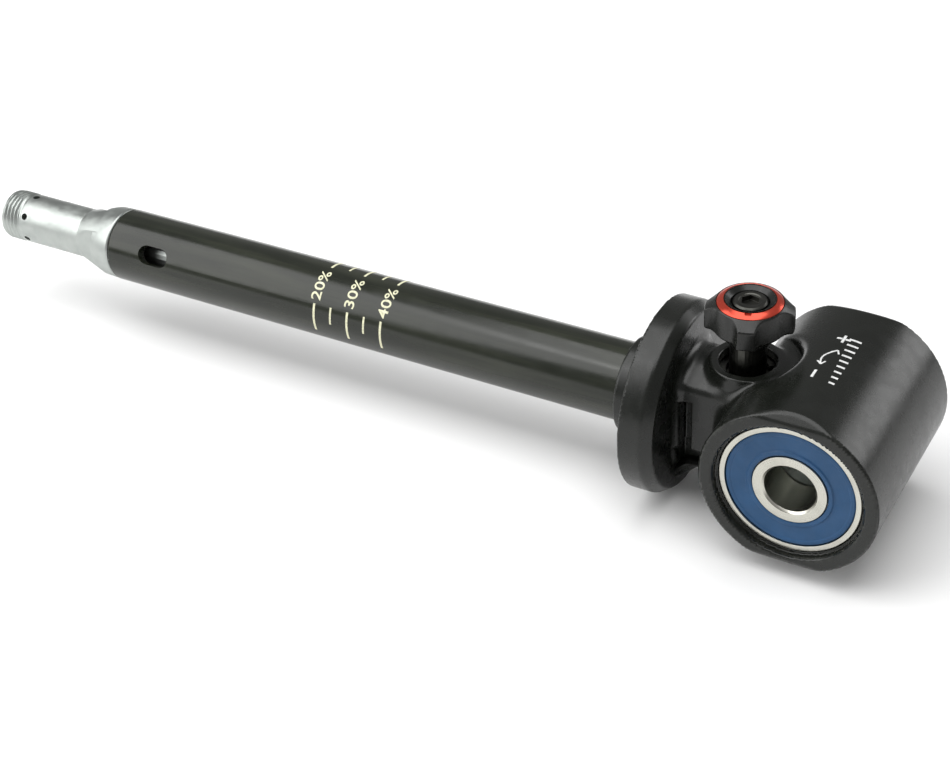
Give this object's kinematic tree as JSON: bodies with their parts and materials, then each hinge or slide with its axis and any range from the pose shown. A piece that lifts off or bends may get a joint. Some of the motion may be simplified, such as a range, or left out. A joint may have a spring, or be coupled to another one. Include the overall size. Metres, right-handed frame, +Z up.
{
  "type": "rear shock",
  "caption": "Rear shock's hollow shaft with threaded tip, sag scale, spring plate, bearing eyelet and a red-ringed rebound knob that moves its metering rod.",
  "frame": {"origin": "centre of the bearing eyelet, on its bolt's axis and half-way along it", "axes": "-X along the shaft, from the eyelet to the threaded tip; Y along the eyelet bolt; +Z up through the adjuster knob's side"},
  "size_m": [0.1701, 0.031, 0.0368],
  "materials": {
    "black_anodised": "satin black anodised",
    "bright_aluminium": "machined, bare",
    "red_anodised": "satin red anodised",
    "blue_seal": "moulded rubber seal",
    "bearing_steel": "ground",
    "black_oxide_steel": "black oxide",
    "nitrile_rubber": "matt"
  },
  "bodies": {
    "housing": {"eyelet_housing": "black_anodised", "damper_shaft": "black_anodised", "shaft_tip": "bright_aluminium", "outer_race_near": "bearing_steel", "outer_race_far": "bearing_steel", "seal_near_outside": "blue_seal", "seal_near_inside": "blue_seal", "seal_far_outside": "blue_seal", "seal_far_inside": "blue_seal", "stem_circlip": "black_oxide_steel", "needle_spring": "bearing_steel", "detent_spring": "bearing_steel"},
    "pivot_core": {"inner_race_near": "bearing_steel", "inner_race_far": "bearing_steel", "bearing_spacer": "bright_aluminium"},
    "cage_set_near": {"cage_near": "bearing_steel", "ball_near_1": "bearing_steel", "ball_near_2": "bearing_steel", "ball_near_3": "bearing_steel", "ball_near_4": "bearing_steel", "ball_near_5": "bearing_steel", "ball_near_6": "bearing_steel", "ball_near_7": "bearing_steel"},
    "cage_set_far": {"cage_far": "bearing_steel", "ball_far_1": "bearing_steel", "ball_far_2": "bearing_steel", "ball_far_3": "bearing_steel", "ball_far_4": "bearing_steel", "ball_far_5": "bearing_steel", "ball_far_6": "bearing_steel", "ball_far_7": "bearing_steel"},
    "rebound_adjuster": {"rebound_knob": "black_anodised", "knob_ring": "red_anodised", "knob_screw": "black_oxide_steel", "adjuster_stem": "bearing_steel", "stem_oring": "nitrile_rubber"},
    "metering_rod": {"rebound_rod": "bright_aluminium", "rebound_needle": "bearing_steel", "rod_oring_front": "nitrile_rubber", "rod_oring_rear": "nitrile_rubber"},
    "detent_plunger": {"detent_ball": "bearing_steel"}
  },
  "joints": [
    {"name": "eyelet_pivot", "type": "hinge", "parent": "housing", "child": "pivot_core", "pos_m": [0, 0, 0], "axis": [0, 1, 0], "continuous": true},
    {"name": "cage_turn_near", "type": "hinge", "parent": "housing", "child": "cage_set_near", "pos_m": [0, -0.01075, 0], "axis": [0, 1, 0], "continuous": true},
    {"name": "cage_turn_far", "type": "hinge", "parent": "housing", "child": "cage_set_far", "pos_m": [0, 0.01075, 0], "axis": [0, 1, 0], "continuous": true},
    {"name": "rebound_turn", "type": "hinge", "parent": "housing", "child": "rebound_adjuster", "pos_m": [-0.0126, 0, 0], "axis": [0, 0, 1], "range_deg": [-135, 135]},
    {"name": "metering_slide", "type": "slide", "parent": "housing", "child": "metering_rod", "axis": [1, 0, 0], "range_m": [-0.00075, 0.00075], "deforming": ["needle_spring"]},
    {"name": "detent_slide", "type": "slide", "parent": "housing", "child": "detent_plunger", "axis": [1, 0, 0], "range_m": [0, 0.0003], "stiffness_N_per_m": 200, "springref_m": 0.0003, "deforming": ["detent_spring"]}
  ],
  "couplings": [
    {"joint": "cage_turn_near", "follows": "eyelet_pivot", "ratio": 0.372},
    {"joint": "cage_turn_far", "follows": "eyelet_pivot", "ratio": 0.372},
    {"joint": "rebound_turn", "follows": "metering_slide", "rad_per_m": 3141.6}
  ]
}
